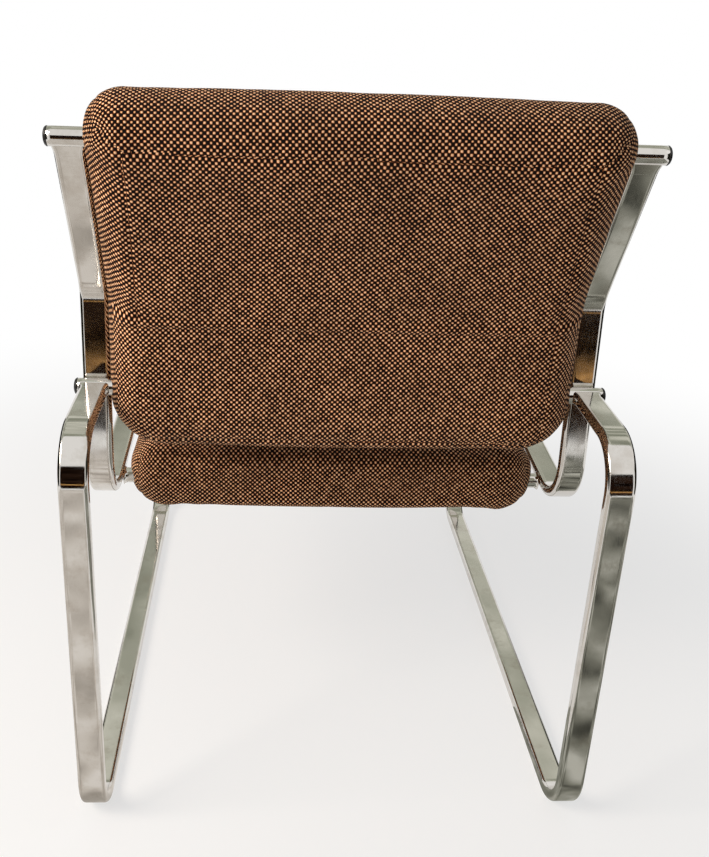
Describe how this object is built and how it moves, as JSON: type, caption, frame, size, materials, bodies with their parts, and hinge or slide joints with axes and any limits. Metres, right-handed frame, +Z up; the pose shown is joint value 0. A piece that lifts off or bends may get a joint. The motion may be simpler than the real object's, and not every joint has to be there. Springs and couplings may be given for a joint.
{
  "type": "lounge chair",
  "caption": "Lounge chair on bent flat-oval chromed side tubes that rise from floor runners, with thick woven seat and bent back cushions carried on round cross rods.",
  "frame": {"origin": "on the floor, midway between the side tubes and midway between the rear and front leg lines", "axes": "+Z up, front towards -Y, the sitter's left towards +X"},
  "size_m": [0.628, 0.833, 0.8446],
  "materials": {
    "chrome": "polished chrome plate with slight wear",
    "cap_plastic": "black moulded plastic, slight sheen",
    "woven_fabric": "coarse brown and tan basket weave",
    "foam": "cut foam",
    "plywood": "bare birch plywood",
    "zinc_steel": "zinc plated"
  },
  "bodies": {
    "root": {"left_side_tube": "chrome", "right_side_tube": "chrome", "top_rod": "chrome", "lumbar_rod": "chrome", "seat_rear_rod": "chrome", "seat_front_rod": "chrome", "top_rod_left_cap": "cap_plastic", "top_rod_right_cap": "cap_plastic", "lumbar_rod_left_cap": "cap_plastic", "lumbar_rod_right_cap": "cap_plastic", "top_rod_welds": "chrome", "leg_top_welds": "chrome", "seat_rod_welds": "chrome", "back_cover": "woven_fabric", "back_front_foam": "foam", "back_rear_foam": "foam", "back_board": "plywood", "back_clips": "zinc_steel", "back_clip_screws": "zinc_steel", "seat_cover": "woven_fabric", "seat_top_foam": "foam", "seat_under_foam": "foam", "seat_board": "plywood", "seat_clips": "zinc_steel", "seat_clip_screws": "zinc_steel"}
  },
  "joints": []
}
